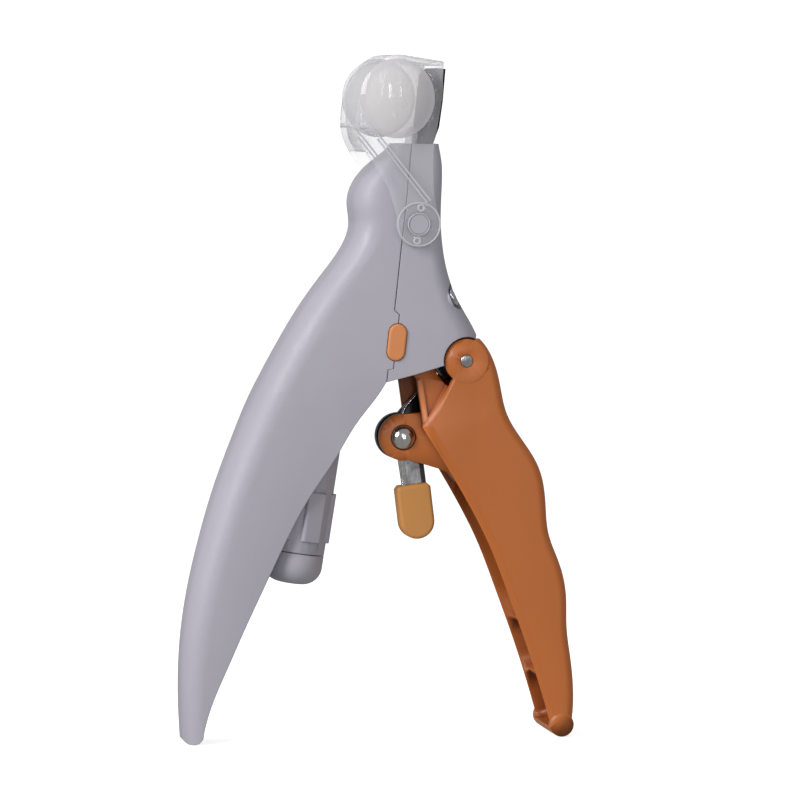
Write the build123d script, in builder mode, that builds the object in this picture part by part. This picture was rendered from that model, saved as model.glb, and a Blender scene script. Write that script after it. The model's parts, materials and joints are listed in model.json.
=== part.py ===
"""Pet nail trimmer with a lit, hooded guillotine head, built as separate working pieces.

Millimetres. Origin: centre of the nail hole. +Z up the tool, +X towards the lever,
+Y across the thickness, away from the switch side.
"""
from build123d import *
import os
from math import atan2, cos, degrees, hypot, pi, radians, sin

os.makedirs("parts", exist_ok=True)

# ---- driving dimensions ------------------------------------------------------------------
neck_tilt = 6.4            # lean of the neck and blade towards the lever, degrees
wall = 1.8                 # shell wall
seam_u = -3.6              # seam between the two shells, measured across the neck
seam_step = 1.3            # jog of the seam beside the switch
seam_gap = 0.2             # groove left between the shells
run = 0.1                  # gap each side of a sliding piece
pin_run = 0.05             # radial clearance of a turning pin
nail_hole_r = 4.2
steel = 1.0                # thickness of the cutter strip and the blade
head_half = 7.2            # half width of the cutter strip
head_top = 10.0            # top of the cutter strip above the nail hole
lever_x, lever_z = 9.0, -61.5      # lever pin
lever_boss_r = 5.35
lever_half = 9.75          # half width over the lever
lever_wall = 1.9
skin_round = 2.4           # rounding of the lever's outer edges
lip_bevel = 1.8            # bevel on the edges of the lever's channel
boss_proud = 0.1           # the lever's bosses stand out of its walls
arm_out, arm_in = 6.6, 5.0         # the inner arms' outer and inner faces
lever_swing = 24.0
drive_r = 20.7             # lever pin to drive pin
pin_r = 1.55               # lever pin
drive_pin_r = 1.2
rivet_x, rivet_z = -5.7, -80.4
lug_r = 5.7
rivet_r = 1.6
hood_x, hood_z = -3.4, -28.0       # nail catcher's pivot
hood_half = 12.3           # half width over the nail catcher
hood_wall = 1.2
hood_ear_r = 5.5
hood_boss_r = 2.4
lens_r = 9.3
button_w, button_l = 4.4, 9.0
led_u, led_r = -2.1, 1.4   # lamp's place across the neck and its radius
button_travel = 0.5
tube_r = 7.3
tube_tilt = 9.0
tube_len = 38.6
cell_r, cell_h, cell_count = 5.75, 5.4, 3

# ---- shared frames and outlines ----------------------------------------------------------
st, ct = sin(radians(neck_tilt)), cos(radians(neck_tilt))
side = Plane.XZ
neck_side = Plane(origin=(0, 0, 0), x_dir=(ct, 0, -st), z_dir=(0, -1, 0))


def across_neck(v):
    """Plane square to the neck, v above the nail hole; x across, y towards +Y."""
    return Plane(origin=(st * v, 0, ct * v), x_dir=(ct, 0, -st), z_dir=(st, 0, ct))


def world(u, v):
    """Side-view position of a point u across and v up the neck."""
    return (u * ct + v * st, -u * st + v * ct)


def at_y(y):
    """Side-view plane at the depth y, facing the switch side."""
    return Plane(origin=(0, y, 0), x_dir=(1, 0, 0), z_dir=(0, -1, 0))


def neck_at_y(y):
    return Plane(origin=(0, y, 0), x_dir=(ct, 0, -st), z_dir=(0, -1, 0))


# battery tube's frame: local z runs down the tube
tube_top = (-26.0, -70.0)
tt, tc = sin(radians(tube_tilt)), cos(radians(tube_tilt))


def down_tube(depth):
    """Plane square to the battery tube, depth below its seat."""
    return Plane(origin=(tube_top[0] - tt * depth, 0, tube_top[1] - tc * depth),
                 x_dir=(tc, 0, -tt), z_dir=(-tt, 0, -tc))


# the pivot's place in the neck's frame sets the drive pin's height and the blade's stroke
pivot_u = lever_x * ct - lever_z * st
pivot_v = lever_x * st + lever_z * ct
half_swing = radians(lever_swing / 2)
blade_travel = 2 * drive_r * sin(half_swing)
drive_u = pivot_u - drive_r * cos(half_swing)
drive_v = pivot_v - drive_r * sin(half_swing)
drive_x, drive_z = world(drive_u, drive_v)

# height, back, front, half width, back corner radius, front corner radius
stations = [
    (-8.6, -7.2, 2.6, 8.6, 3.0, 2.2),
    (-11, -9.4, 3.0, 8.9, 3.4, 2.4),
    (-14, -13.3, 3.4, 9.3, 4.4, 2.8),
    (-18, -16.8, 3.4, 9.7, 5.6, 3.2),
    (-23, -18.3, 3.2, 10.0, 6.4, 3.6),
    (-28.5, -17.9, 3.2, 10.0, 6.5, 3.8),
    (-34, -19.9, 3.7, 10.05, 6.6, 4.0),
    (-41, -25.0, 5.3, 10.2, 6.8, 5.0),
    (-48, -30.2, 8.4, 10.3, 7.2, 6.0),
    (-56, -35.2, 12.8, 10.4, 7.6, 6.8),
    (-67, -41.3, 12.0, 10.4, 7.8, 6.8),
    (-79, -46.7, -6.0, 10.1, 7.8, 5.6),
    (-91, -51.3, -15.0, 9.8, 7.6, 4.2),
    (-103, -55.0, -24.0, 9.3, 7.2, 4.0),
    (-115, -58.0, -32.0, 8.7, 6.8, 3.8),
    (-127, -60.0, -38.0, 8.0, 6.2, 3.6),
    (-139, -60.8, -43.0, 7.2, 5.6, 3.4),
    (-150, -60.6, -46.0, 6.4, 5.0, 3.2),
    (-158.5, -59.9, -48.0, 5.8, 4.4, 3.0),
]


def body_sections(inset):
    """Rounded rectangles up the body; inset draws the hollow inside the walls."""
    sections = []
    for i, (z, back, front, half, r_back, r_front) in enumerate(stations):
        top_drop = inset if i == 0 else 0
        with BuildSketch(Plane.XY.offset(z - top_drop)) as s:
            with Locations(((back + front) / 2, 0)):
                Rectangle(front - back - 2 * inset, 2 * (half - inset))
            fillet(s.vertices().group_by(Axis.X)[0], r_back - inset / 2)
            fillet(s.vertices().group_by(Axis.X)[-1], r_front - inset / 2)
        sections.append(s.sketch)
    return sections


seam = [world(seam_u, 3), world(seam_u, -49.6), world(seam_u + seam_step, -50.6),
        world(seam_u + seam_step, -63.8), world(seam_u, -64.2), world(seam_u, -67.2)]
rim = [seam[-1], (-13.9, -70.6), (-18.3, -76.2), (-23.3, -84.4), (-30.5, -95.2),
       (-36.0, -105.6), (-41.0, -116.3), (-46.0, -127.2), (-50.0, -136.4),
       (-53.2, -144.0), (-55.5, -152.2)]

# ---- handle shell: back of the neck and the long hollow grip -----------------------------
button_u, button_v = seam_u + 1.5, -57.3
button_x, button_z = world(button_u, button_v)
wall_face = 10.4           # outer face of the shells beside the switch
with BuildPart() as handle_shell:
    loft(sections=body_sections(0))
    loft(sections=body_sections(wall), mode=Mode.SUBTRACT)
    with BuildSketch(side) as handle_side:
        with BuildLine():
            Polyline(*seam)
            Spline(*rim)
            ThreePointArc(rim[-1], (-58.0, -154.8), (-60.7, -152.0))
            Polyline((-60.7, -152.0), (-80, -151), (-80, 3), seam[0])
        make_face()
    extrude(amount=20, both=True, mode=Mode.INTERSECT)
    # cross ribs that seat the battery tube's upper end
    with BuildSketch(side) as seat_side:
        with BuildLine():
            Polyline((-36.4, -66), (-19.6, -66), (-19.6, -72.4), (-37.4, -72.4), close=True)
        make_face()
    extrude(amount=8.8, both=True)
    with BuildSketch(down_tube(0)):
        Circle(tube_r)
    extrude(amount=4, mode=Mode.SUBTRACT)
    with BuildSketch(down_tube(0)):
        Circle(1.8)
    extrude(amount=-8, mode=Mode.SUBTRACT)
    # slot and inner pocket for the switch button
    with BuildSketch(neck_at_y(-20)):
        with Locations((button_u, button_v)):
            SlotOverall(button_l + 0.3, button_w + 0.3, rotation=90)
    extrude(amount=-13, mode=Mode.SUBTRACT)
    with BuildSketch(neck_at_y(-wall_face + 0.8)):
        with Locations((button_u, button_v)):
            SlotOverall(button_l + 2.0, button_w + 2.0, rotation=90)
    extrude(amount=-2, mode=Mode.SUBTRACT)
    # posts that carry the circuit board
    with BuildSketch(neck_at_y(-8.9)):
        with Locations((button_u - 4.2, button_v + 3.8), (button_u - 4.2, button_v - 3.8)):
            Circle(0.9)
    extrude(amount=-1.4)
handle_shell.part.label = "handle_shell"
export_step(handle_shell.part, "parts/handle_shell.step")

# ---- front shell: front of the neck, carries the lever and the cutter head ---------------
screw_out = (0.887, -0.250, 0.389)     # square to the rounded corner of the shell
screw_face = Plane(origin=(6.6, -7.03, -45.86), x_dir=(0.40, 0, -0.915), z_dir=screw_out)
front_seam = [(x + seam_gap, z) for x, z in seam]
with BuildPart() as front_shell:
    loft(sections=body_sections(0))
    loft(sections=body_sections(wall), mode=Mode.SUBTRACT)
    with BuildSketch(side) as front_side:
        with BuildLine():
            Polyline(*front_seam, (-4.1, -64.7), (3.5, -62.5), (lever_x, -61.5),
                     (11.6, -56.42), (12.6, -54.9), (30, -53), (30, 3), front_seam[0])
        make_face()
        with Locations((lever_x, lever_z)):
            Circle(lever_boss_r + 0.5, mode=Mode.SUBTRACT)
    extrude(amount=20, both=True, mode=Mode.INTERSECT)
    # opening in the neck's top for the blade and the cutter strip's legs
    with BuildSketch(across_neck(-18)):
        with Locations((0.45, 0)):
            Rectangle(3.9, 2 * head_half + 0.3)
    extrude(amount=16, mode=Mode.SUBTRACT)
    # hole for the lamp
    with BuildSketch(across_neck(-18)):
        with Locations((led_u, 0)):
            Circle(led_r + 0.05)
    extrude(amount=16, mode=Mode.SUBTRACT)
    # rib that holds the slide guide
    with BuildSketch(neck_side):
        with Locations((4.6, -31)):
            Rectangle(3.4, 5.0)
    extrude(amount=3.0, both=True)
    # two ears around the lever pin
    for y0 in (-4.7, 2.7):
        with BuildSketch(at_y(y0)):
            with BuildLine():
                Polyline((3.2, -53), (11.0, -53), (12.4, -57.0), (13.4, -61.0),
                         (lever_x, -65.9), (4.7, -61.0), close=True)
            make_face()
            with Locations((lever_x, lever_z)):
                Circle(4.4)
        extrude(amount=-2.0)
    # web that ties the ears to the shell's front wall
    with BuildSketch(side):
        with BuildLine():
            Polyline((4.2, -50.5), (9.0, -50.5), (11.2, -54.2), (3.6, -54.2), close=True)
        make_face()
    extrude(amount=5.6, both=True)
    with BuildSketch(at_y(-20)):
        with Locations((lever_x, lever_z)):
            Circle(pin_r)
    extrude(amount=-40, mode=Mode.SUBTRACT)
    # bosses the nail catcher turns on
    for y0, out in ((-9.2, 3.3), (9.2, -3.3)):
        with BuildSketch(at_y(y0)):
            with Locations((hood_x, hood_z)):
                Circle(hood_boss_r)
        extrude(amount=out)
    # sunk hole for the assembly screw
    with BuildSketch(screw_face.offset(-0.9)):
        Circle(3.2)
    extrude(amount=-2.4)
    with BuildSketch(screw_face.offset(4)):
        SlotOverall(6.8, 5.0)
    extrude(amount=-4.9, mode=Mode.SUBTRACT)
    with BuildSketch(screw_face.offset(4)):
        Circle(1.1)
    extrude(amount=-8, mode=Mode.SUBTRACT)
    # the switch's slot and pocket run over the seam
    with BuildSketch(neck_at_y(-20)):
        with Locations((button_u, button_v)):
            SlotOverall(button_l + 0.3, button_w + 0.3, rotation=90)
    extrude(amount=-13, mode=Mode.SUBTRACT)
    with BuildSketch(neck_at_y(-wall_face + 0.8)):
        with Locations((button_u, button_v)):
            SlotOverall(button_l + 2.0, button_w + 2.0, rotation=90)
    extrude(amount=-2, mode=Mode.SUBTRACT)
front_shell.part.label = "front_shell"
export_step(front_shell.part, "parts/front_shell.step")

with BuildPart() as shell_screw:
    with BuildSketch(screw_face.offset(-0.9)):
        Circle(2.3)
    extrude(amount=1.0)
    fillet(shell_screw.faces().sort_by(Axis((0, 0, 0), screw_out))[-1].edges(), 0.6)
    with BuildSketch(screw_face.offset(-0.9)):
        Circle(1.1)
    extrude(amount=-6.5)
    with BuildSketch(screw_face.offset(0.1)):
        Rectangle(2.6, 0.6)
        Rectangle(0.6, 2.6)
    extrude(amount=-0.8, mode=Mode.SUBTRACT)
shell_screw.part.label = "shell_screw"
export_step(shell_screw.part, "parts/shell_screw.step")

# ---- slide guide: square sleeve in the neck that the blade carrier runs in ---------------
carrier_half = 4.4
foot_half = 3.2
carrier_u0, carrier_u1 = -3.0, 1.0
web_in = carrier_u1 + steel + run  # inner face of the cutter strip's web
web_out = web_in + steel
leg_in = head_half - steel
leg_back, leg_front = carrier_u0 + 2.5, carrier_u1 + steel
with BuildPart() as slide_guide:
    with BuildSketch(across_neck(-44)):
        with Locations(((carrier_u0 - run + web_in) / 2, 0)):
            Rectangle(web_in - carrier_u0 + run + 1.6, 2 * leg_in)
            Rectangle(web_in - carrier_u0 + run, 2 * (leg_in - 0.9), mode=Mode.SUBTRACT)
    extrude(amount=29)
slide_guide.part.label = "slide_guide"
export_step(slide_guide.part, "parts/slide_guide.step")

# ---- cutter head: folded steel strip with the nail hole ----------------------------------
with BuildPart() as cutter_head:
    with BuildSketch(neck_side) as strip_side:
        with BuildLine():
            Polyline((leg_back, head_top - 1.6), (leg_back + 1.5, head_top), (web_out, head_top),
                     (web_out + 0.2, 2.0), (web_out, -4.2), (leg_front, -8.6),
                     (leg_front, -22), (leg_back, -22), close=True)
        make_face()
    extrude(amount=head_half, both=True)
    with BuildSketch(across_neck(-40)):
        with Locations((web_in / 2 - 5, 0)):
            Rectangle(web_in + 10, 2 * leg_in)
    extrude(amount=40 + head_top - steel, mode=Mode.SUBTRACT)
    with BuildSketch(neck_side):
        with Locations((web_in, -15)):
            Rectangle(4, 20)
    extrude(amount=leg_in, both=True, mode=Mode.SUBTRACT)
    with BuildSketch(Plane(origin=(0, 0, 0), x_dir=(0, 1, 0), z_dir=(ct, 0, -st))):
        Circle(nail_hole_r)
    extrude(amount=10, mode=Mode.SUBTRACT)
    fillet(cutter_head.edges().filter_by(Axis.Y).sort_by(Axis.Z)[-1], 0.6)
cutter_head.part.label = "cutter_head"
export_step(cutter_head.part, "parts/cutter_head.step")

# ---- blade, its carrier and the screw that joins them ------------------------------------
blade_edge_v = -4.7
with BuildPart() as blade:
    with BuildSketch(neck_side):
        with BuildLine():
            Polyline((carrier_u1, -31), (carrier_u1 + steel, -31),
                     (carrier_u1 + steel, blade_edge_v), (carrier_u1, blade_edge_v - 2.4),
                     close=True)
        make_face()
    extrude(amount=5.2, both=True)
    with BuildSketch(Plane(origin=(0, 0, 0), x_dir=(0, 1, 0), z_dir=(ct, 0, -st))):
        with Locations((0, -28)):
            Circle(1.25)
    extrude(amount=10, mode=Mode.SUBTRACT)
blade.part.label = "blade"
export_step(blade.part, "parts/blade.step")

carrier_v1 = -23.5
carrier_v0 = drive_v - drive_pin_r - 1.1
with BuildPart() as blade_carrier:
    with BuildSketch(neck_side):
        with BuildLine():
            Polyline((carrier_u0, drive_v + 5), (carrier_u1, drive_v + 5),
                     (carrier_u1, carrier_v1), (carrier_u0, carrier_v1), close=True)
        make_face()
    extrude(amount=carrier_half, both=True)
    # foot that reaches across to the drive pin
    with BuildSketch(neck_side):
        with BuildLine():
            Polyline((drive_u - 2.4, carrier_v0 + 1), (drive_u - 1.4, carrier_v0),
                     (carrier_u1, carrier_v0 + 1.5), (carrier_u1, drive_v + 5),
                     (carrier_u0, drive_v + 5), (drive_u - 2.4, drive_v + 2.6), close=True)
        make_face()
    extrude(amount=foot_half, both=True)
    # cross slot for the drive pin
    with BuildSketch(neck_side):
        with Locations((drive_u - 0.3, drive_v)):
            SlotOverall(2 * drive_pin_r + 1.1, 2 * drive_pin_r + 0.1)
    extrude(amount=carrier_half, both=True, mode=Mode.SUBTRACT)
    # lightening pocket
    with BuildSketch(neck_side):
        with Locations(((carrier_u0 + carrier_u1) / 2 - 1.2, -42)):
            Rectangle(1.6, 16)
    extrude(amount=carrier_half, both=True, mode=Mode.SUBTRACT)
    with BuildSketch(Plane(origin=(0, 0, 0), x_dir=(0, 1, 0), z_dir=(ct, 0, -st))):
        with Locations((0, -28)):
            Circle(1.1)
    extrude(amount=10, both=True, mode=Mode.SUBTRACT)
blade_carrier.part.label = "blade_carrier"
export_step(blade_carrier.part, "parts/blade_carrier.step")

with BuildPart() as blade_screw:
    with BuildSketch(Plane(origin=(0, 0, 0), x_dir=(0, 1, 0),
                           z_dir=(ct, 0, -st)).offset(carrier_u0)):
        with Locations((0, -28)):
            Circle(1.1)
    extrude(amount=carrier_u1 + steel - carrier_u0 - 0.1)
blade_screw.part.label = "blade_screw"
export_step(blade_screw.part, "parts/blade_screw.step")

# ---- lever: channel-shaped grip with inner arms and the latch lug ------------------------
inner_edge = [(-1.7, -77.6), (2.5, -84.2), (10.1, -97.1), (15.3, -107.4), (20.1, -119.8),
              (23.6, -129.3), (26.8, -138.8), (30.3, -150.5)]
outer_edge = [(36.0, -151.0), (36.4, -144.0), (35.7, -135.5), (34.7, -127.5), (34.5, -119.5),
              (32.7, -111.5), (30.1, -104.5), (29.3, -97.0), (27.7, -88.4), (23.3, -81.0),
              (19.5, -74.6), (17.7, -67.0), (15.9, -61.0), (12.7, -56.2)]


def moved_in(points, gap):
    """The points shifted by gap to the left of their direction of travel."""
    shifted = []
    for i, (x, z) in enumerate(points):
        (xa, za), (xb, zb) = points[max(i - 1, 0)], points[min(i + 1, len(points) - 1)]
        run_x, run_z = xb - xa, zb - za
        length = hypot(run_x, run_z)
        shifted.append((x - gap * run_z / length, z + gap * run_x / length))
    return shifted


skin_inside = moved_in(outer_edge, lever_wall)

with BuildPart() as lever:
    with BuildSketch(side):
        with BuildLine():
            Spline(*inner_edge[1:])
            Line(inner_edge[0], inner_edge[1])
            ThreePointArc(inner_edge[-1], (34.0, -154.4), outer_edge[0])
            Spline(*outer_edge)
            Polyline(outer_edge[-1], (lever_x + 0.6, lever_z + 4.7), (4.9, -67.6),
                     inner_edge[0])
        make_face()
    extrude(amount=lever_half, both=True)
    for flank in lever.faces().filter_by(Axis.Y):
        by_length = flank.edges().sort_by(SortBy.LENGTH)
        fillet(by_length[-1], skin_round)
    for flank in lever.faces().filter_by(Axis.Y):
        lips = flank.edges().filter_by(
            lambda e: (e @ 0.5).X < 0.5 * ((e @ 0.5).Z + 77.6) * -0.62 + 9 and e.length > 5)
        chamfer(lips, lip_bevel)
    for y0 in (-lever_half - boss_proud, arm_out):
        with BuildSketch(at_y(y0)):
            with Locations((lever_x, lever_z)):
                Circle(lever_boss_r)
        extrude(amount=-(lever_half + boss_proud - arm_out))
    # hollow of the channel, open to the left
    with BuildSketch(side):
        with BuildLine():
            Spline(*skin_inside)
            Polyline(skin_inside[-1], (lever_x + 1.0, lever_z + 3.4), (-8, -66.0), (-8, -90),
                     (20, -152), (32.4, -152), skin_inside[0])
        make_face()
    extrude(amount=lever_half - lever_wall, both=True, mode=Mode.SUBTRACT)
    # room for the shell's ears and the spring round the pin
    with BuildSketch(side):
        with Locations((lever_x, lever_z)):
            Circle(7.5)
    extrude(amount=arm_in, both=True, mode=Mode.SUBTRACT)
    # inner arms that reach up into the body to the drive pin
    for y0, out in ((-arm_out, 0.5), (arm_in, -1.8)):
        with BuildSketch(at_y(y0)):
            with BuildLine():
                Polyline((-1.7 + out, -77.6), (6.4, -71.0), (5.6, -62.0), (-1.5, -60.6),
                         (drive_x + 0.6, drive_z + 2.2), (drive_x + 0.6, drive_z - 1.3),
                         (-4.6 + out, -64.2), (-3.2 + out, -66.0), close=True)
            make_face()
            with Locations((drive_x, drive_z)):
                Circle(drive_pin_r + 1.1)
            with Locations((lever_x, lever_z)):
                Circle(7.5, mode=Mode.SUBTRACT)
        extrude(amount=-(arm_out - arm_in))
    # raised border down each inner arm's free edge
    for y0, out in ((-arm_out - 0.5, 0.5), (arm_out - 0.1, -1.8)):
        with BuildSketch(at_y(y0)):
            with BuildLine():
                Polyline((-3.2 + out, -66.2), (-1.7 + out, -77.0), (-0.5 + out, -76.4),
                         (-2.0 + out, -65.8), close=True)
            make_face()
        extrude(amount=-0.6)
    # shelf that joins each inner arm to its wall
    for y0 in (-lever_half + lever_wall, arm_in):
        with BuildSketch(at_y(y0)):
            with BuildLine():
                Polyline((-1.5, -77.4), (4.9, -67.8), (6.8, -68.6), (1.2, -79.6),
                         (0.2, -79.6), close=True)
            make_face()
        extrude(amount=-(lever_half - lever_wall - arm_in))
    # bridge between the walls that carries the lug
    with BuildSketch(side):
        with BuildLine():
            Polyline((1.0, -77.6), (7.0, -76.6), (12.4, -88.6), (8.6, -92.0), (2.6, -83.4),
                     (1.0, -80.4), close=True)
        make_face()
    extrude(amount=lever_half - 1, both=True)
    with BuildSketch(at_y(-4.2)):
        with Locations((rivet_x, rivet_z)):
            Circle(lug_r)
        with BuildLine():
            Polyline((rivet_x + 0.6, rivet_z + lug_r), (0.6, -74.4), (5.0, -76.0),
                     (9.0, -90.6), (3.0, -88.2), (rivet_x + 1.4, rivet_z - 5.5), close=True)
        make_face()
        with Locations((rivet_x, rivet_z)):
            Circle(rivet_r, mode=Mode.SUBTRACT)
    extrude(amount=-3.0)
    # stiffening ribs low in the channel
    for (x0, z0), (x1, z1) in (((24.6, -126.0), (33.6, -122.6)), ((28.4, -139.0), (34.6, -135.8))):
        with BuildSketch(side):
            with BuildLine():
                Polyline((x0, z0), (x1, z1), (x1, z1 - 1.6), (x0 + 0.5, z0 - 1.6), close=True)
            make_face()
        extrude(amount=lever_half - 1, both=True)
    with BuildSketch(at_y(-20)):
        with Locations((lever_x, lever_z)):
            Circle(pin_r + pin_run)
    extrude(amount=-40, mode=Mode.SUBTRACT)
    with BuildSketch(at_y(-20)):
        with Locations((drive_x, drive_z)):
            Circle(drive_pin_r)
    extrude(amount=-40, mode=Mode.SUBTRACT)
lever.part.label = "lever"
export_step(lever.part, "parts/lever.step")

with BuildPart() as lever_pin:
    with BuildSketch(at_y(-lever_half - boss_proud - 0.2)):
        with Locations((lever_x, lever_z)):
            Circle(pin_r)
    extrude(amount=-(2 * lever_half + 2 * boss_proud + 0.4))
    chamfer(lever_pin.edges().filter_by(GeomType.CIRCLE), 0.25)
lever_pin.part.label = "lever_pin"
export_step(lever_pin.part, "parts/lever_pin.step")

with BuildPart() as drive_pin:
    with BuildSketch(at_y(-arm_out)):
        with Locations((drive_x, drive_z)):
            Circle(drive_pin_r)
    extrude(amount=-2 * arm_out)
drive_pin.part.label = "drive_pin"
export_step(drive_pin.part, "parts/drive_pin.step")

# ---- return spring: torsion coils round the pin, legs on the shell and the lever ---------
wire_r = 0.45
coil_r = 2.6
with BuildPart() as return_spring:
    with BuildLine() as coil_path:
        Helix(pitch=1.0, height=4.0, radius=coil_r, center=(lever_x, -2.0, lever_z),
              direction=(0, 1, 0))
    with BuildSketch(Plane(origin=coil_path.line @ 0, z_dir=coil_path.line % 0)):
        Circle(wire_r)
    sweep(path=coil_path.line)
return_spring.part.label = "return_spring"
export_step(return_spring.part, "parts/return_spring.step")

# ---- spring cup: ring that shrouds the coils between the shell's ears --------------------
with BuildPart() as spring_cup:
    with BuildSketch(at_y(-2.6)):
        with Locations((lever_x, lever_z)):
            Circle(5.75)
            Circle(3.4, mode=Mode.SUBTRACT)
    extrude(amount=-5.2)
spring_cup.part.label = "spring_cup"
export_step(spring_cup.part, "parts/spring_cup.step")

# ---- latch: hub, steel strip and thumb cap turning on the lug's rivet --------------------
strip_y = -1.1             # near face of the strip, behind the lug
strip_t = 1.2
strip_top = (-3.3, -86.6)
strip_end = (-2.9, -92.2)
strip_dir = (0.120, -0.993)
with BuildPart() as latch_rivet:
    with BuildSketch(at_y(-4.2)):
        with Locations((rivet_x, rivet_z)):
            Circle(rivet_r)
    extrude(amount=-8.9)
    with BuildSketch(Plane(origin=(rivet_x, -4.2, rivet_z), x_dir=(1, 0, 0),
                           z_dir=(0, 0, 1))):
        with BuildLine():
            Polyline((2.9, -0.35), (2.9, 0), (0, 0), (0, -1.9))
            TangentArc((0, -1.9), (2.9, -0.35), tangent=(1, 0))
        make_face()
    revolve(axis=Axis((rivet_x, 0, rivet_z), (0, 1, 0)))
    with BuildSketch(at_y(4.1)):
        with Locations((rivet_x, rivet_z)):
            Circle(2.6)
    extrude(amount=-0.7)
latch_rivet.part.label = "latch_rivet"
export_step(latch_rivet.part, "parts/latch_rivet.step")

with BuildPart() as latch_strip:
    with BuildSketch(at_y(strip_y)):
        with Locations((rivet_x, rivet_z)):
            Circle(4.6)
        with BuildLine():
            Polyline((-6.6, -84.4), (-1.6, -81.6), (-0.1, -92.6), (1.3, -101.4),
                     (-4.1, -102.0), (-5.4, -92.0), close=True)
        make_face()
        with BuildLine():
            Polyline((-6.9, -77.2), (-4.7, -73.0), (-1.6, -69.5), (-1.3, -69.9),
                     (-4.3, -73.3), (-6.2, -76.9), close=True)
        make_face()
        with Locations((rivet_x, rivet_z)):
            Circle(rivet_r + pin_run, mode=Mode.SUBTRACT)
    extrude(amount=-strip_t)
latch_strip.part.label = "latch_strip"
export_step(latch_strip.part, "parts/latch_strip.step")

with BuildPart() as latch_hub:
    with BuildSketch(at_y(strip_y + strip_t)):
        with Locations((rivet_x, rivet_z)):
            Circle(lug_r)
        with BuildLine():
            Polyline((-7.4, -76.6), (-4.6, -73.4), (-1.7, -70.0), (-0.9, -70.2),
                     (-0.9, -78.0), close=True)
        make_face()
        with Locations((rivet_x, rivet_z)):
            Circle(rivet_r + pin_run, mode=Mode.SUBTRACT)
    extrude(amount=-3.6)
latch_hub.part.label = "latch_hub"
export_step(latch_hub.part, "parts/latch_hub.step")

cap_plane = Plane(origin=(strip_end[0], strip_y + strip_t / 2, strip_end[1]),
                  x_dir=(0.993, 0, 0.120), z_dir=(0, -1, 0))
with BuildPart() as latch_cap:
    with BuildSketch(cap_plane):
        with BuildLine():
            Polyline((-4.3, -9.2), (-4.3, -0.9), (-3.5, 0), (3.5, 0), (4.3, -0.9),
                     (4.3, -9.2))
            ThreePointArc((-4.3, -9.2), (0, -13.5), (4.3, -9.2))
        make_face()
    extrude(amount=2.6, both=True)
    fillet(latch_cap.faces().filter_by(Axis.Y).edges(), 0.9)
    add(latch_strip.part, mode=Mode.SUBTRACT)
latch_cap.part.label = "latch_cap"
export_step(latch_cap.part, "parts/latch_cap.step")

# ---- nail catcher: clear hood hinged on the neck, with a magnifier in each side ----------
lens_x, lens_z = -8.6, 2.6
hood_in = hood_half - hood_wall


def hood_outline(inset):
    """Side profile of the hood; the inset profile runs out of its open front and foot."""
    with BuildSketch(side) as s:
        with BuildLine():
            if inset:
                Polyline((3.4 + inset, 10.1), (-7.0, 11.7))
                Spline((-7.0, 11.7), (-9.4, 11.6), (-11.6, 10.4), (-14.2, 7.3), (-16.4, 2.6),
                       (-17.1, -4.6))
                Polyline((-17.1, -4.6), (-16.4, -7.8), (-14.4, -11.2), (-14.4, -14), (20, -14),
                         (20, 10.1), (3.4 + inset, 10.1))
            else:
                Polyline((2.7, 11.4), (-7.0, 12.95))
                Spline((-7.0, 12.95), (-9.8, 12.8), (-12.4, 11.4), (-15.3, 8.1), (-17.6, 2.8),
                       (-18.4, -4.3))
                Spline((-18.4, -4.3), (-17.5, -8.2), (-13.6, -14.6), (-10.6, -20.0),
                       (-9.3, -24.4), (hood_x - 4.6, -28.8))
                Line((hood_x - 4.6, -28.8), (hood_x + 4.4, -24.6))
                Spline((hood_x + 4.4, -24.6), (0.2, -12.0), (1.2, -4.3))
                Polyline((1.2, -4.3), (2.4, 3.0), (2.7, 11.4))
        make_face()
    return s.sketch


with BuildPart() as nail_catcher:
    extrude(hood_outline(0), amount=hood_half, both=True)
    extrude(hood_outline(hood_wall), amount=hood_in, both=True, mode=Mode.SUBTRACT)
    with BuildSketch(side):
        with Locations((-8, -20.5)):
            Rectangle(40, 20)
    extrude(amount=hood_in, both=True, mode=Mode.SUBTRACT)
    for y0 in (-hood_half, hood_in):
        with BuildSketch(at_y(y0)):
            with Locations((hood_x, hood_z)):
                Circle(hood_ear_r)
        extrude(amount=-hood_wall)
        # openings the magnifiers are bonded into
        with BuildSketch(at_y(y0)):
            with Locations((lens_x, lens_z)):
                Circle(lens_r - 0.9)
        extrude(amount=-hood_wall, mode=Mode.SUBTRACT)
    with BuildSketch(at_y(-20)):
        with Locations((hood_x, hood_z)):
            Circle(hood_boss_r + pin_run)
    extrude(amount=-40, mode=Mode.SUBTRACT)
nail_catcher.part.label = "nail_catcher"
export_step(nail_catcher.part, "parts/nail_catcher.step")

lens_rise = 1.6
for name, face_y, out in (("magnifier_near", -hood_half, -1), ("magnifier_far", hood_half, 1)):
    with BuildPart() as magnifier:
        with BuildSketch(Plane(origin=(lens_x, face_y, lens_z), x_dir=(1, 0, 0),
                               z_dir=(0, -out, 0))):
            Circle(lens_r - 0.9)
        extrude(amount=hood_wall)
        with BuildSketch(Plane(origin=(lens_x, face_y, lens_z), x_dir=(1, 0, 0),
                               z_dir=(0, 0, 1))) as dome:
            with BuildLine():
                Line((0, 0), (lens_r - 0.9, 0))
                ThreePointArc((lens_r - 0.9, 0), (0.55 * lens_r, out * 0.68 * lens_rise),
                              (0, out * lens_rise))
                Line((0, out * lens_rise), (0, 0))
            make_face()
        revolve(axis=Axis((lens_x, 0, lens_z), (0, 1, 0)))
    magnifier.part.label = name
    export_step(magnifier.part, "parts/" + name + ".step")

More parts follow.
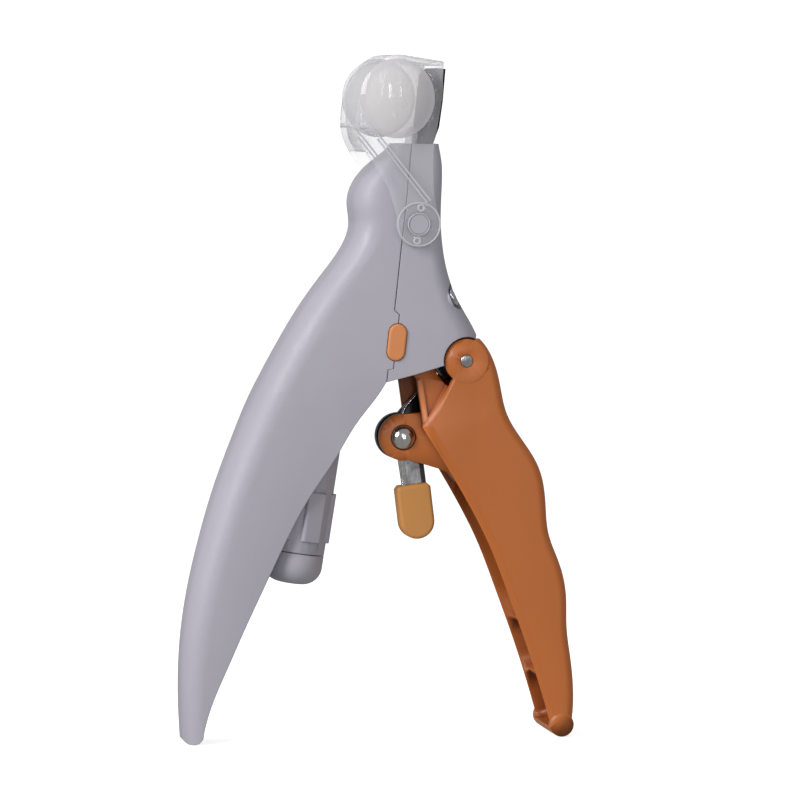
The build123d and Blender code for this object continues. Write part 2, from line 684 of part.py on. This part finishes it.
# ---- switch button, switch, board, lamp and wires ----------------------------------------
button_out = wall_face + 0.6
with BuildPart() as switch_button:
    with BuildSketch(neck_at_y(-button_out)):
        with Locations((button_u, button_v)):
            SlotOverall(button_l, button_w, rotation=90)
    extrude(amount=-(button_out - 9.15))
    fillet(switch_button.faces().sort_by(Axis.Y)[0].edges(), 0.5)
    with BuildSketch(neck_at_y(-wall_face + 0.85)):
        with Locations((button_u, button_v)):
            SlotOverall(button_l + 1.2, button_w + 1.2, rotation=90)
    extrude(amount=-0.4)
switch_button.part.label = "switch_button"
export_step(switch_button.part, "parts/switch_button.step")

board_y = -6.9             # inner face of the board
board_t = 0.6
with BuildPart() as circuit_board:
    with BuildSketch(neck_at_y(board_y - board_t)):
        with Locations((button_u - 2.4, button_v)):
            RectangleRounded(7.6, 11, 0.8)
    extrude(amount=-board_t)
circuit_board.part.label = "circuit_board"
export_step(circuit_board.part, "parts/circuit_board.step")

with BuildPart() as tact_switch:
    with BuildSketch(neck_at_y(board_y - board_t)):
        with Locations((button_u, button_v)):
            Rectangle(2.6, 4.4)
    extrude(amount=0.6)
    with BuildSketch(neck_at_y(board_y - board_t - 0.6)):
        with Locations((button_u, button_v)):
            Circle(0.8)
    extrude(amount=9.15 - button_travel - 0.05 + board_y - board_t - 0.6)
tact_switch.part.label = "tact_switch"
export_step(tact_switch.part, "parts/tact_switch.step")

with BuildPart() as led:
    with BuildSketch(across_neck(-12)):
        with Locations((led_u, 0)):
            Circle(led_r)
    extrude(amount=7.2)
    fillet(led.faces().sort_by(Axis.Z)[-1].edges(), 1.3)
led.part.label = "led"
export_step(led.part, "parts/led.step")

def wire(name, points):
    """Thin insulated wire along a smooth path."""
    with BuildPart() as lead:
        with BuildLine() as path:
            Spline(*points)
        with BuildSketch(Plane(origin=path.line @ 0, z_dir=path.line % 0)):
            Circle(0.45)
        sweep(path=path.line)
    lead.part.label = name
    export_step(lead.part, "parts/" + name + ".step")


for name, y0 in (("lamp_wire_red", 0.9), ("lamp_wire_black", -0.9)):
    wire(name, [(-3.4, y0, -12.2), (-6.4, 0.9 * y0, -15), (-9.2, 0.9 * y0, -26),
                (-12.4, y0, -38), (-14.8, y0 - 4.2, -47), (-15.2, y0 - 5.4, -53.0)])
for name, y0 in (("supply_wire_red", 0.9), ("supply_wire_black", -0.9)):
    wire(name, [(-15.6, y0 - 5.2, -57.5), (-17.8, y0 - 4.8, -58.2), (-21.6, y0 - 2.4, -60.4),
                (-25.2, y0, -65.6)])

# ---- battery tube, contact, cells, spring and cap ----------------------------------------
cavity_from = 10.0
contact_t = 0.4
with BuildPart() as battery_tube:
    with BuildSketch(down_tube(0)):
        Circle(tube_r)
    extrude(amount=tube_len)
    # raised grip pads round the mouth
    with BuildSketch(down_tube(23.5)):
        with PolarLocations(tube_r - 0.35, 6, start_angle=12):
            RectangleRounded(2.1, 5.2, 0.8)
    extrude(amount=12.0)
    with BuildSketch(down_tube(cavity_from)):
        Circle(cell_r + 0.1)
    extrude(amount=tube_len, mode=Mode.SUBTRACT)
    with BuildSketch(down_tube(0)):
        Circle(1.8)
    extrude(amount=cavity_from, mode=Mode.SUBTRACT)
battery_tube.part.label = "battery_tube"
export_step(battery_tube.part, "parts/battery_tube.step")

with BuildPart() as battery_contact:
    with BuildSketch(down_tube(cavity_from)):
        Circle(cell_r - 0.4)
    extrude(amount=contact_t)
    with BuildSketch(down_tube(cavity_from)):
        Rectangle(2.4, 0.5)
    extrude(amount=-8)
battery_contact.part.label = "battery_contact"
export_step(battery_contact.part, "parts/battery_contact.step")

for i in range(cell_count):
    with BuildPart() as cell:
        with BuildSketch(down_tube(cavity_from + contact_t + i * cell_h)):
            Circle(4.6)
        extrude(amount=0.6)
        with BuildSketch(down_tube(cavity_from + contact_t + 0.6 + i * cell_h)):
            Circle(cell_r)
        extrude(amount=cell_h - 0.6)
    name = "button_cell_" + str(i + 1)
    cell.part.label = name
    export_step(cell.part, "parts/" + name + ".step")

cells_end = cavity_from + contact_t + cell_count * cell_h
spring_len = 7.2
with BuildPart() as battery_spring:
    foot = down_tube(cells_end + 0.4).origin
    with BuildLine() as spring_path:
        Helix(pitch=1.8, height=spring_len - 0.8, radius=4.2, center=foot,
              direction=(-tt, 0, -tc))
    with BuildSketch(Plane(origin=spring_path.line @ 0, z_dir=spring_path.line % 0)):
        Circle(0.4)
    sweep(path=spring_path.line)
battery_spring.part.label = "battery_spring"
export_step(battery_spring.part, "parts/battery_spring.step")

plug_from = cells_end + spring_len
with BuildPart() as battery_cap:
    with BuildSketch(down_tube(plug_from)):
        Circle(cell_r + 0.1 - pin_run)
    extrude(amount=tube_len + 0.3 - plug_from)
    with BuildSketch(down_tube(tube_len + 0.3)):
        Circle(tube_r)
    extrude(amount=7.6)
    fillet(battery_cap.faces().sort_by(Axis.Z)[0].edges(), 4.6)
battery_cap.part.label = "battery_cap"
export_step(battery_cap.part, "parts/battery_cap.step")
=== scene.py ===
"""Looks of the pet nail trimmer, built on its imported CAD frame. Metres."""
import json
from math import cos, pi, radians, sin

import bpy
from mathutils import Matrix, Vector
from mathutils.bvhtree import BVHTree


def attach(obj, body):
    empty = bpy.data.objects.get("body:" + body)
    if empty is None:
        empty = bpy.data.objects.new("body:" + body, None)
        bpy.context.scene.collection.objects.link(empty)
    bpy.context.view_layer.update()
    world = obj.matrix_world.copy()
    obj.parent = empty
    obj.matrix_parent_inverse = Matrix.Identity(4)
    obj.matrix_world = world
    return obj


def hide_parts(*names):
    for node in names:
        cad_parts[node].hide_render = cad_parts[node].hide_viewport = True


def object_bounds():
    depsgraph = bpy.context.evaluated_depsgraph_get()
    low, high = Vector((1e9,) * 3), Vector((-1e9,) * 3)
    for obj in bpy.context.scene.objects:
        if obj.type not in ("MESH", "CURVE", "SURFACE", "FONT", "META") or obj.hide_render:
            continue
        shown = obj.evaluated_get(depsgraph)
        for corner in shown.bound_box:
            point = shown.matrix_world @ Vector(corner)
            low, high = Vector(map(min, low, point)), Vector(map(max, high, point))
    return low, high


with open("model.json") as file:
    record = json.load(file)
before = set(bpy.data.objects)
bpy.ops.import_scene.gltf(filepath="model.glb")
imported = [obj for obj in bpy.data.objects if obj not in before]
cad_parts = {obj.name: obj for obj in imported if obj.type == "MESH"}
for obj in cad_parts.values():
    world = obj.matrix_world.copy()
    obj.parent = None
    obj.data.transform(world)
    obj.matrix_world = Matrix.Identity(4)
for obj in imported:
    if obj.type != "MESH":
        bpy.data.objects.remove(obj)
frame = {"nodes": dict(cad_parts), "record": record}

CAD_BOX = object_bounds()
NODES = frame["nodes"]
MM = 0.001
WELD_WITHIN = 2e-6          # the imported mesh's split vertices lie this near
SHARP_CAD = 28              # creases steeper than this stay sharp on CAD nodes, degrees
SHARP_PIECE = 35            # the same on pieces made here
ON_SURFACE = 0.0004         # a shell's vertex this near the true surface lies on it
FACING = 0.93               # least agreement between a face and the surface it follows
ARC_STEPS = 12              # steps in a quarter turn, and from a lens's middle to its rim
METAL_EDGE = 0.0002         # shading radius of a metal edge

for packed in list(bpy.data.materials):
    bpy.data.materials.remove(packed)


# ---- materials ---------------------------------------------------------------------------
class Graph:
    """Small helper round one material's node tree."""

    def __init__(self, name):
        self.material = bpy.data.materials.new(name)
        self.material.use_nodes = True
        self.nodes = self.material.node_tree.nodes
        self.links = self.material.node_tree.links
        self.shader = self.nodes["Principled BSDF"]
        self.place = self.nodes.new("ShaderNodeTexCoord")

    def set(self, **values):
        for name, value in values.items():
            self.shader.inputs[name.replace("_", " ")].default_value = value

    def link(self, a, b):
        self.links.new(a, b)

    def noise(self, per_metre, detail=3.0, stretch=None, distortion=0.0):
        """Noise in object space; stretch squeezes it along the three axes."""
        node = self.nodes.new("ShaderNodeTexNoise")
        node.inputs["Scale"].default_value = per_metre
        node.inputs["Detail"].default_value = detail
        node.inputs["Distortion"].default_value = distortion
        source = self.place.outputs["Object"]
        if stretch:
            mapping = self.nodes.new("ShaderNodeMapping")
            mapping.inputs["Scale"].default_value = stretch
            self.link(source, mapping.inputs["Vector"])
            source = mapping.outputs["Vector"]
        self.link(source, node.inputs["Vector"])
        return node.outputs["Fac"]

    def ramp(self, source, stops):
        """Colour ramp of (position, rgb) stops."""
        node = self.nodes.new("ShaderNodeValToRGB")
        ramp = node.color_ramp
        while len(ramp.elements) < len(stops):
            ramp.elements.new(0.5)
        for element, (position, colour) in zip(ramp.elements, stops):
            element.position = position
            element.color = (*colour, 1.0)
        self.link(source, node.inputs["Fac"])
        return node.outputs["Color"]

    def span(self, source, low, high, from_low=0.3, from_high=0.7):
        """Maps a value into low..high."""
        node = self.nodes.new("ShaderNodeMapRange")
        node.inputs["From Min"].default_value = from_low
        node.inputs["From Max"].default_value = from_high
        node.inputs["To Min"].default_value = low
        node.inputs["To Max"].default_value = high
        self.link(source, node.inputs["Value"])
        return node.outputs["Result"]

    def blend(self, amount, below, above):
        """Mixes a colour link towards a fixed colour by a masked amount."""
        node = self.nodes.new("ShaderNodeMix")
        node.data_type = "RGBA"
        self.link(amount, node.inputs[0])
        self.link(below, node.inputs[6])
        node.inputs[7].default_value = (*above, 1.0)
        return node.outputs[2]

    def bump(self, source, strength, distance, rounding=0.0):
        """Bump over an optional rounded edge of that radius."""
        node = self.nodes.new("ShaderNodeBump")
        node.inputs["Strength"].default_value = strength
        node.inputs["Distance"].default_value = distance
        self.link(source, node.inputs["Height"])
        if rounding:
            bevel = self.nodes.new("ShaderNodeBevel")
            bevel.samples = 6
            bevel.inputs["Radius"].default_value = rounding
            self.link(bevel.outputs["Normal"], node.inputs["Normal"])
        return node.outputs["Normal"]


def srgb(r, g, b):
    """0-255 display colour to linear."""
    out = []
    for c in (r, g, b):
        c /= 255
        out.append(c / 12.92 if c <= 0.04045 else ((c + 0.055) / 1.055) ** 2.4)
    return tuple(out)


def shade(colour, k):
    return tuple(min(1.0, c * k) for c in colour)


def edge_mask(g, radius, gain):
    """gain near the moulding's edges and 0 on its open faces, from a rounded normal."""
    bevel = g.nodes.new("ShaderNodeBevel")
    bevel.samples = 8
    bevel.inputs["Radius"].default_value = radius
    geometry = g.nodes.new("ShaderNodeNewGeometry")
    dot = g.nodes.new("ShaderNodeVectorMath")
    dot.operation = "DOT_PRODUCT"
    g.link(bevel.outputs["Normal"], dot.inputs[0])
    g.link(geometry.outputs["Normal"], dot.inputs[1])
    return g.span(dot.outputs["Value"], gain, 0.0, 0.75, 0.995)


def moulded_plastic(name, colour, rough, grain=0.35, rounding=0.00035, painted_shade=None, reach=0.010,
                    edge_highlight=0.0):
    """Moulded plastic: fine grain, faint flow marks, a painted highlight on its edges, painted
    shade in its recesses.
    """
    g = Graph(name)
    flow = g.noise(38, 4.0, (1, 1, 0.35), 0.6)
    base = g.ramp(flow, [(0.32, shade(colour, 0.93)), (0.55, colour), (0.75, shade(colour, 1.05))])
    # painted highlight: edges lightened by the edge mask
    if edge_highlight:
        base = g.blend(edge_mask(g, 0.0009, 1.0), base, shade(colour, 1 + edge_highlight))
    # painted shade: recesses darkened towards a dark colour by local ambient occlusion
    if painted_shade:
        shade_ao = g.nodes.new("ShaderNodeAmbientOcclusion")
        shade_ao.samples = 8
        shade_ao.only_local = True
        shade_ao.inputs["Distance"].default_value = reach
        base = g.blend(g.span(shade_ao.outputs["AO"], 1.0, 0.0, 0.18, 0.80), base, painted_shade)
    g.link(base, g.shader.inputs["Base Color"])
    smear = g.noise(170, 5.0, (1, 1, 0.5), 0.3)
    g.link(g.span(smear, rough - 0.06, rough + 0.08), g.shader.inputs["Roughness"])
    fine = g.noise(5200, 2.0)
    g.link(g.bump(fine, grain, 0.00006, rounding), g.shader.inputs["Normal"])
    g.set(IOR=1.5)
    return g.material


def worked_metal(name, colour, rough, stretch, mottle=0.12, bump=0.25):
    """Metal with directional finishing lines and uneven stain."""
    g = Graph(name)
    stain = g.noise(420, 5.0, None, 0.8)
    g.link(g.ramp(stain, [(0.3, shade(colour, 1 - 2 * mottle)), (0.55, colour),
                          (0.72, shade(colour, 1 + mottle))]), g.shader.inputs["Base Color"])
    lines = g.noise(2600, 3.0, stretch)
    g.link(g.span(lines, rough - 0.08, rough + 0.1), g.shader.inputs["Roughness"])
    g.link(g.bump(lines, bump, 0.00004, METAL_EDGE), g.shader.inputs["Normal"])
    g.set(Metallic=1.0)
    return g.material


def clear_plastic(name, tint, body, rim, rough=0.05, edge=0.0006):
    """Thin clear moulding: see-through on its faces, more opaque at glancing angles as painted
    reflection, with a painted white highlight along its edges.
    """
    g = Graph(name)
    scuff = g.noise(900, 6.0, (1, 1, 0.2), 0.5)
    g.link(g.span(scuff, rough, rough + 0.12, 0.45, 0.8), g.shader.inputs["Roughness"])
    ripple = g.noise(150, 2.0)
    g.link(g.bump(ripple, 0.15, 0.0003), g.shader.inputs["Normal"])
    # painted reflection: the faces grow more opaque at glancing angles
    facing = g.nodes.new("ShaderNodeLayerWeight")
    facing.inputs["Blend"].default_value = 0.4
    glance = g.span(facing.outputs["Facing"], body, rim, 0.15, 0.95)
    most = g.nodes.new("ShaderNodeMath")
    most.operation = "MAXIMUM"
    g.link(glance, most.inputs[0])
    # painted highlight: the edges turn opaque and whiten
    mask = edge_mask(g, edge, 0.85)
    g.link(mask, most.inputs[1])
    g.link(most.outputs["Value"], g.shader.inputs["Alpha"])
    g.link(g.ramp(mask, [(0.0, tint), (0.35, srgb(196, 197, 203)), (0.75, srgb(250, 250, 252))]),
           g.shader.inputs["Base Color"])
    g.set(IOR=1.49)
    return g.material


GREY = srgb(180, 177, 188)
ORANGE = srgb(194, 108, 48)
BUTTON = srgb(222, 142, 84)
MUSTARD = srgb(204, 142, 74)

# each dark recess colour below is painted shade, and each edge lightening a painted highlight
grey_shell = moulded_plastic("grey_shell", GREY, 0.44, painted_shade=srgb(74, 72, 82), reach=0.006)
orange = moulded_plastic("orange_lever", ORANGE, 0.40, painted_shade=srgb(104, 22, 2), reach=0.014, edge_highlight=0.30)
orange_button = moulded_plastic("orange_button", BUTTON, 0.45, painted_shade=srgb(110, 60, 30), reach=0.003,
                                edge_highlight=0.15)
mustard = moulded_plastic("mustard_cap", MUSTARD, 0.55, 0.5, painted_shade=srgb(100, 62, 24), reach=0.004,
                          edge_highlight=0.12)
black = moulded_plastic("black_plastic", srgb(28, 27, 29), 0.38)
dark_steel = worked_metal("dark_steel", srgb(58, 54, 62), 0.36, (1, 1, 0.05))
blade_steel = worked_metal("blade_steel", srgb(190, 190, 196), 0.24, (1, 0.05, 1))
bright_steel = worked_metal("bright_steel", srgb(206, 206, 210), 0.22, (1, 1, 0.08), 0.2)
polished = worked_metal("chrome_rivet", srgb(214, 212, 208), 0.14, (1, 1, 1), 0.08, 0.1)
cell_can = worked_metal("cell_steel", srgb(200, 200, 204), 0.16, (1, 1, 1), 0.06, 0.1)
clear = clear_plastic("clear_plastic", srgb(244, 244, 248), 0.15, 0.62)
lens = clear_plastic("lens_plastic", srgb(236, 233, 235), 0.56, 0.86, 0.03, 0.0003)
ridge = clear_plastic("ridge_plastic", srgb(226, 227, 232), 0.62, 0.9, 0.12, 0.00015)
lamp = clear_plastic("lamp_epoxy", srgb(232, 234, 238), 0.55, 0.95)
board = moulded_plastic("board_green", srgb(40, 96, 62), 0.35, 0.2)
red = moulded_plastic("wire_red", srgb(170, 32, 28), 0.4, 0.2, 0.0001)
wire_black = moulded_plastic("wire_black", srgb(30, 30, 32), 0.4, 0.2, 0.0001)

finish_of = {m.name: m for m in (grey_shell, orange, orange_button, mustard, black, dark_steel,
                                 blade_steel, bright_steel, polished, cell_can, clear, lamp,
                                 board, red, wire_black)}
for part in frame["record"]["subparts"]:
    node = NODES[part["node"]]
    node.data.materials.clear()
    node.data.materials.append(finish_of[part["material_slot"]])


def smooth_cad(node):
    """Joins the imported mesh's split vertices and smooths across shallow edges."""
    node.data.shade_smooth()
    node.data.set_sharp_from_angle(angle=radians(SHARP_CAD))
    weld = node.modifiers.new("weld", "WELD")
    weld.merge_threshold = WELD_WITHIN
    normals = node.modifiers.new("normals", "WEIGHTED_NORMAL")
    normals.keep_sharp = True
    normals.weight = 60


for node in NODES.values():
    smooth_cad(node)

# height, back, front, half width, back corner radius, front corner radius of the body
STATIONS = [
    (-8.6, -7.2, 2.6, 8.6, 3.0, 2.2), (-11, -9.4, 3.0, 8.9, 3.4, 2.4),
    (-14, -13.3, 3.4, 9.3, 4.4, 2.8), (-18, -16.8, 3.4, 9.7, 5.6, 3.2),
    (-23, -18.3, 3.2, 10.0, 6.4, 3.6), (-28.5, -17.9, 3.2, 10.0, 6.5, 3.8),
    (-34, -19.9, 3.7, 10.05, 6.6, 4.0), (-41, -25.0, 5.3, 10.2, 6.8, 5.0),
    (-48, -30.2, 8.4, 10.3, 7.2, 6.0), (-56, -35.2, 12.8, 10.4, 7.6, 6.8),
    (-67, -41.3, 12.0, 10.4, 7.8, 6.8), (-79, -46.7, -6.0, 10.1, 7.8, 5.6),
    (-91, -51.3, -15.0, 9.8, 7.6, 4.2), (-103, -55.0, -24.0, 9.3, 7.2, 4.0),
    (-115, -58.0, -32.0, 8.7, 6.8, 3.8), (-127, -60.0, -38.0, 8.0, 6.2, 3.6),
    (-139, -60.8, -43.0, 7.2, 5.6, 3.4), (-150, -60.6, -46.0, 6.4, 5.0, 3.2),
    (-158.5, -59.9, -48.0, 5.8, 4.4, 3.0)]


def eased(table, z):
    """Smooth value of each column at height z between the stations."""
    rows = table[::-1]
    k = max(0, min(len(rows) - 2, sum(1 for r in rows if r[0] <= z) - 1))
    p1, p2 = rows[k], rows[k + 1]
    p0, p3 = rows[max(k - 1, 0)], rows[min(k + 2, len(rows) - 1)]
    h = p2[0] - p1[0]
    t = (z - p1[0]) / h
    out = []
    for c in range(1, len(p1)):
        m1 = (p2[c] - p0[c]) / max(p2[0] - p0[0], 1e-6) * h
        m2 = (p3[c] - p1[c]) / max(p3[0] - p1[0], 1e-6) * h
        out.append((2 * t ** 3 - 3 * t ** 2 + 1) * p1[c] + (t ** 3 - 2 * t ** 2 + t) * m1
                   + (3 * t ** 2 - 2 * t ** 3) * p2[c] + (t ** 3 - t ** 2) * m2)
    return out


def section_ring(back, front, half, r_back, r_front):
    """Rounded rectangle round the body at one height, as evenly matched points."""
    ring = []
    for cx, cy, r, start in ((front - r_front, half - r_front, r_front, 0),
                             (back + r_back, half - r_back, r_back, 90),
                             (back + r_back, -half + r_back, r_back, 180),
                             (front - r_front, -half + r_front, r_front, 270)):
        for i in range(ARC_STEPS + 1):
            a = radians(start + 90 * i / ARC_STEPS)
            ring.append((cx + r * cos(a), cy + r * sin(a)))
    return ring


def true_surface():
    """Search tree and normals of the body's smooth outer surface."""
    rings = []
    z = STATIONS[-1][0]
    while z <= STATIONS[0][0]:
        rings.append([(x * MM, y * MM, z * MM) for x, y in section_ring(*eased(STATIONS, z))])
        z += 1.0
    n = len(rings[0])
    verts = [p for ring in rings for p in ring]
    quads = [(r * n + i, r * n + (i + 1) % n, (r + 1) * n + (i + 1) % n, (r + 1) * n + i)
             for r in range(len(rings) - 1) for i in range(n)]
    mesh = bpy.data.meshes.new("true_surface")
    mesh.from_pydata(verts, [], quads)
    normals = [v.normal.copy() for v in mesh.vertices]
    tree = BVHTree.FromPolygons([Vector(v) for v in verts], quads)
    bpy.data.meshes.remove(mesh)
    return tree, verts, quads, normals


def follow_surface(node, tree, verts, quads, normals):
    """Shades a shell's outer faces with the true surface's normals."""
    mesh = node.data
    old = [Vector(c.vector) for c in mesh.corner_normals]
    new = list(old)
    for face in mesh.polygons:
        for index in face.loop_indices:
            at = mesh.vertices[mesh.loops[index].vertex_index].co
            spot, _, quad, _ = tree.find_nearest(at, ON_SURFACE)
            if spot is None:
                continue
            weights = [1 / ((Vector(verts[v]) - spot).length + 1e-5) for v in quads[quad]]
            smooth = sum((normals[v] * w for v, w in zip(quads[quad], weights)), Vector())
            smooth.normalize()
            if smooth.dot(face.normal) > FACING:
                new[index] = smooth
    mesh.normals_split_custom_set(new)


surface = true_surface()
for name in ("handle_shell", "front_shell"):
    for modifier in list(NODES[name].modifiers):
        NODES[name].modifiers.remove(modifier)
    follow_surface(NODES[name], *surface)


def piece(name, verts, faces, material, body, bevel=0.0, hide=()):
    """Mesh piece from points in millimetres, riding on a body."""
    mesh = bpy.data.meshes.new(name)
    mesh.from_pydata([(x * MM, y * MM, z * MM) for x, y, z in verts], [], faces)
    mesh.validate()
    mesh.shade_smooth()
    mesh.set_sharp_from_angle(angle=radians(SHARP_PIECE))
    obj = bpy.data.objects.new(name, mesh)
    bpy.context.scene.collection.objects.link(obj)
    mesh.materials.append(material)
    if bevel:
        soft = obj.modifiers.new("bevel", "BEVEL")
        soft.width = bevel * MM
        soft.segments = 3
        soft.limit_method = "ANGLE"
    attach(obj, body)
    if hide:
        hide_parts(*hide)
    return obj


def spun(profile, around, steps, tall=1.0):
    """Ring mesh of a closed (radius, y) profile about the Y axis through (x, z)."""
    n = len(profile)
    verts, faces = [], []
    for i in range(steps):
        a = 2 * pi * i / steps
        for r, y in profile:
            verts.append((around[0] + r * cos(a), y, around[1] + r * tall * sin(a)))
    for i in range(steps):
        j = (i + 1) % steps
        for k in range(n):
            m = (k + 1) % n
            faces.append((i * n + k, j * n + k, j * n + m, i * n + m))
    return verts, faces


# ---- magnifiers: full domes in the catcher's sides ---------------------------------------
LENS = (-8.7, 2.5)
LENS_R = 9.2
HOOD_HALF = 12.3
LENS_TALL = 1.05            # height over width
BALL = 17.0                 # radius of the lens's crown


def magnifier(name, side):
    """Domed lens: a thick-edged bowl with a smooth crown, seated in its ring."""
    outer, inner = [], []
    for i in range(ARC_STEPS + 1):
        t = i / ARC_STEPS
        r = LENS_R * sin(t * pi / 2)
        crown = (BALL ** 2 - r ** 2) ** 0.5 - (BALL ** 2 - LENS_R ** 2) ** 0.5
        outer.append((max(r, 0.02), side * (HOOD_HALF + 0.15 + crown)))
        inner.append((max(r * 0.93, 0.02), side * (HOOD_HALF - 1.0 + crown * 0.5)))
    profile = outer + inner[::-1]
    if side > 0:
        profile = profile[::-1]
    verts, faces = spun(profile, LENS, 96, LENS_TALL)
    return piece(name, verts, faces, lens, "hood", hide=(name,))


magnifier("magnifier_near", -1)
magnifier("magnifier_far", 1)


def bar(points, wide, y0, y1):
    """Flat bar along a side-view line, between two depths."""
    verts, faces = [], []
    for i, (x, z) in enumerate(points):
        xa, za = points[max(i - 1, 0)]
        xb, zb = points[min(i + 1, len(points) - 1)]
        length = ((xb - xa) ** 2 + (zb - za) ** 2) ** 0.5
        nx, nz = -(zb - za) / length * wide / 2, (xb - xa) / length * wide / 2
        verts += [(x + nx, y0, z + nz), (x - nx, y0, z - nz),
                  (x - nx, y1, z - nz), (x + nx, y1, z + nz)]
    for i in range(len(points) - 1):
        a, b = 4 * i, 4 * i + 4
        for k in range(4):
            m = (k + 1) % 4
            faces.append((a + k, a + m, b + m, b + k))
    faces.append((0, 1, 2, 3))
    faces.append(tuple(4 * (len(points) - 1) + k for k in (3, 2, 1, 0)))
    return verts, faces


# raised double rib, rim line, ear ring and pips on each side of the catcher
EAR = (-3.4, -28.0)
RIB_WIDE = 0.4
SOFT = 0.08                 # rounding of a small raised piece's edges
STEPS = 56                  # round a ring
ribs = {
    "rib_upper": [(-18.2, -4.6), (-16.2, -4.5), (-14.4, -5.2), (-12.2, -7.7), (-0.6, -22.2)],
    "rib_lower": [(-13.6, -7.3), (-12.7, -8.5), (-1.5, -22.6)],
}
for name, side in (("near", -1), ("far", 1)):
    y0, y1 = side * (HOOD_HALF - 0.1), side * (HOOD_HALF + 0.4)
    for part, line in ribs.items():
        verts, faces = bar(line, RIB_WIDE, y0, y1)
        piece("catcher_" + part + "_" + name, verts, faces, ridge, "hood", SOFT)
    for part, place, inner_r, outer_r in (("ear_ring", EAR, 5.05, 5.4),
                                          ("boss_ring", EAR, 2.5, 2.75),
                                          ("pip_upper", (EAR[0] + 0.5, EAR[1] + 4.0), 0.5, 0.95),
                                          ("pip_lower", (EAR[0] - 0.5, EAR[1] - 4.0), 0.5, 0.95)):
        ring = [(inner_r, y0), (outer_r, y0), (outer_r, y1), (inner_r, y1)]
        verts, faces = spun(ring if side < 0 else ring[::-1], place, STEPS)
        piece("catcher_" + part + "_" + name, verts, faces, ridge, "hood", SOFT)

# black ring under the rivet's head as painted shade; a black bar as painted shade and a polished
# bar as a painted highlight down the latch strip
RIVET = (-5.7, -80.4)
# painted shade: a black ring round the foot of the rivet's head
shade_ring_profile = [(2.2, -4.15), (3.15, -4.15), (3.15, -4.45), (2.2, -4.45)]
verts, faces = spun(shade_ring_profile, RIVET, STEPS)
piece("rivet_shade_ring", verts, faces, black, "lever", SOFT)
# painted shade: a black bar along one side of the latch strip
verts, faces = bar([(-0.75, -85.2), (0.35, -94.0)], 1.0, -1.35, -1.08)
piece("strip_painted_shade", verts, faces, black, "latch", 0.05)
# painted highlight: a polished bar along the other side of the latch strip
verts, faces = bar([(-5.35, -85.6), (-4.75, -93.0)], 1.1, -1.3, -1.08)
piece("strip_painted_highlight", verts, faces, polished, "latch", 0.05)

# ---- stage: floor, backdrop, lights, camera ----------------------------------------------
low, high = CAD_BOX
floor_z = low.z


def backdrop():
    """Floor that curves up into a wall behind the tool."""
    width, front, back, bend, rise = 3.0, -2.0, 1.6, 0.7, 3.0
    line = [(front, floor_z), (0.0, floor_z), (back - bend, floor_z)]
    for i in range(1, ARC_STEPS + 1):
        a = pi / 2 * i / ARC_STEPS
        line.append((back - bend + bend * sin(a), floor_z + bend * (1 - cos(a))))
    line.append((back, floor_z + rise))
    verts = [(x, y, z) for x in (-width, width) for y, z in line]
    n = len(line)
    faces = [(i, i + 1, n + i + 1, n + i) for i in range(n - 1)]
    mesh = bpy.data.meshes.new("backdrop")
    mesh.from_pydata(verts, [], faces)
    mesh.shade_smooth()
    obj = bpy.data.objects.new("backdrop", mesh)
    bpy.context.scene.collection.objects.link(obj)
    g = Graph("pale_backdrop")
    paper = g.noise(60, 3.0)
    g.link(g.ramp(paper, [(0.3, (0.93, 0.93, 0.93)), (0.7, (0.95, 0.95, 0.95))]),
           g.shader.inputs["Base Color"])
    g.set(Roughness=0.9, Emission_Color=(1, 1, 1, 1), Emission_Strength=0.70)
    mesh.materials.append(g.material)
    obj.visible_diffuse = False
    obj.visible_glossy = False


def area_light(name, where, aim, size, power, size_y=None):
    data = bpy.data.lights.new(name, "AREA")
    data.shape = "RECTANGLE"
    data.size, data.size_y = size, size_y or size
    data.energy = power
    obj = bpy.data.objects.new(name, data)
    obj.location = where
    obj.rotation_mode = "QUATERNION"
    obj.rotation_quaternion = (Vector(aim) - Vector(where)).to_track_quat("-Z", "Y")
    bpy.context.scene.collection.objects.link(obj)


backdrop()
middle = (low + high) / 2
area_light("key", (-0.95, -0.62, 0.45), middle, 0.5, 10.5, 0.7)
area_light("front", (-0.12, -1.3, 0.25), middle, 0.10, 2.2, 0.5)
area_light("front_right", (0.28, -1.25, 0.2), middle, 0.05, 0.7, 0.4)
area_light("top", (-0.2, 0.1, 0.9), middle, 0.6, 1.6)

world = bpy.data.worlds.new("studio")
bpy.context.scene.world = world
world.use_nodes = True
world.node_tree.nodes["Background"].inputs["Color"].default_value = (1, 1, 1, 1)
world.node_tree.nodes["Background"].inputs["Strength"].default_value = 0.31

scene = bpy.context.scene
scene.view_settings.view_transform = "Standard"
camera_data = bpy.data.cameras.new("camera")
camera_data.lens = 200        # long lens, near to a flat view
camera_data.clip_end = 20
camera = bpy.data.objects.new("camera", camera_data)
scene.collection.objects.link(camera)
azimuth, elevation, away = radians(-11), radians(4), 1.092
target = Vector((-0.0057, 0, -0.0715))
back = Vector((sin(azimuth) * cos(elevation), -cos(azimuth) * cos(elevation), sin(elevation)))
camera.location = target + back * away
camera.rotation_mode = "QUATERNION"
camera.rotation_quaternion = (-back).to_track_quat("-Z", "Y")
scene.camera = camera
